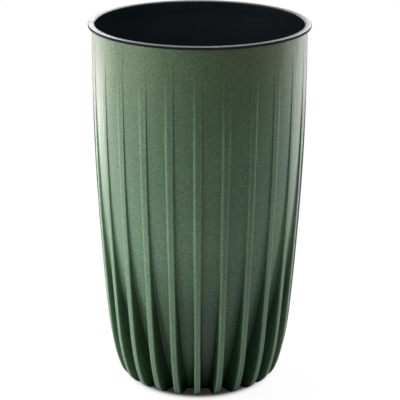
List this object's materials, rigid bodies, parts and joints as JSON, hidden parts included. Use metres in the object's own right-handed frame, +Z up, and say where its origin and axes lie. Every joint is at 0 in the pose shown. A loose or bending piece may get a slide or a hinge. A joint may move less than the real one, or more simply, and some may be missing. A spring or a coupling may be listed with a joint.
{
  "type": "flower pot",
  "caption": "Tall round planter: green wood-fibre plastic outer pot with vertical fins that deepen towards the foot, black lift-out liner hung by its rim, and a drain plug.",
  "frame": {"origin": "centre of the foot, on the ground", "axes": "+Z up along the pot's axis; a fin points along -Y, the front; +X to the right seen from the front"},
  "size_m": [0.2999, 0.3, 0.5],
  "materials": {
    "pot_green": "matt wood-fibre filled plastic, finely speckled",
    "liner_black": "smooth glossy moulded plastic",
    "plug_rubber": "matt soft rubber"
  },
  "bodies": {
    "outer_pot": {"outer_pot": "pot_green"},
    "liner": {"liner": "liner_black"},
    "drain_plug": {"drain_plug": "plug_rubber"}
  },
  "joints": [
    {"name": "liner_lift", "type": "slide", "parent": "outer_pot", "child": "liner", "axis": [0, 0, 1], "range_m": [0, 0.4]},
    {"name": "plug_pull", "type": "slide", "parent": "outer_pot", "child": "drain_plug", "axis": [0, 0, 1], "range_m": [0, 0.03]}
  ]
}
